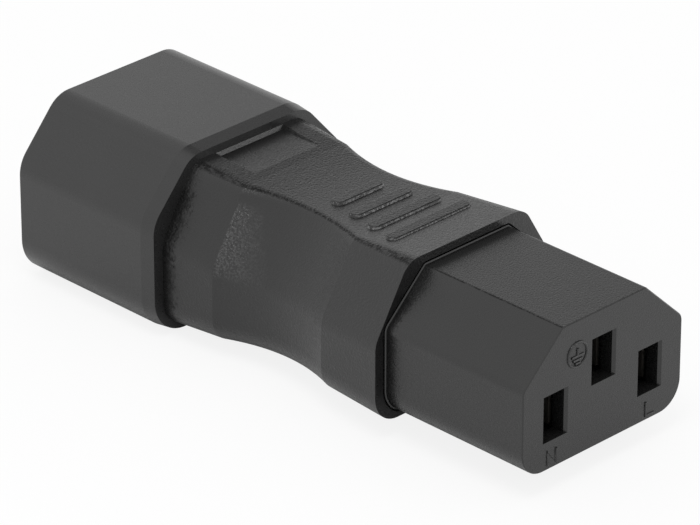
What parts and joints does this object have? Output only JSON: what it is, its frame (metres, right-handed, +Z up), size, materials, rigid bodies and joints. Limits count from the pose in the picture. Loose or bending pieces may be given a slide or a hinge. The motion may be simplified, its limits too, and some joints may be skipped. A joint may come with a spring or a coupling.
{
  "type": "three-pole mains inlet adapter",
  "caption": "Short straight power adapter with a shrouded male plug at one end, a waisted moulded grip with finger ribs, and a chamfered female connector nose at the other end.",
  "frame": {"origin": "centre of the bounding box's bottom face, on the flat underside of the plug shroud", "axes": "+X along the adapter, towards the face of the connector nose; +Z up, on the chamfered earth side; +Y completes a right-handed frame"},
  "size_m": [0.0726, 0.0284, 0.0203],
  "materials": {
    "shroud_plastic": "smooth satin moulding",
    "nose_plastic": "smooth satin moulding",
    "grip_plastic": "fine matt grain",
    "inner_plastic": "plain moulding",
    "filler_plastic": "plain moulding",
    "pin_metal": "nickel plated",
    "contact_metal": "pressed sheet",
    "lead_metal": "bare copper strand",
    "line_insulation": "brown insulation",
    "neutral_insulation": "blue insulation",
    "earth_insulation": "green and yellow insulation"
  },
  "bodies": {
    "root": {"plug_shroud": "shroud_plastic", "nose_housing": "nose_plastic", "grip_overmould": "grip_plastic", "pin_retainer": "inner_plastic", "contact_cap": "inner_plastic", "lead_filler": "filler_plastic", "line_pin": "pin_metal", "line_contact": "contact_metal", "line_strand": "lead_metal", "line_sleeve": "line_insulation", "neutral_pin": "pin_metal", "neutral_contact": "contact_metal", "neutral_strand": "lead_metal", "neutral_sleeve": "neutral_insulation", "earth_pin": "pin_metal", "earth_contact": "contact_metal", "earth_strand": "lead_metal", "earth_sleeve": "earth_insulation"}
  },
  "joints": []
}
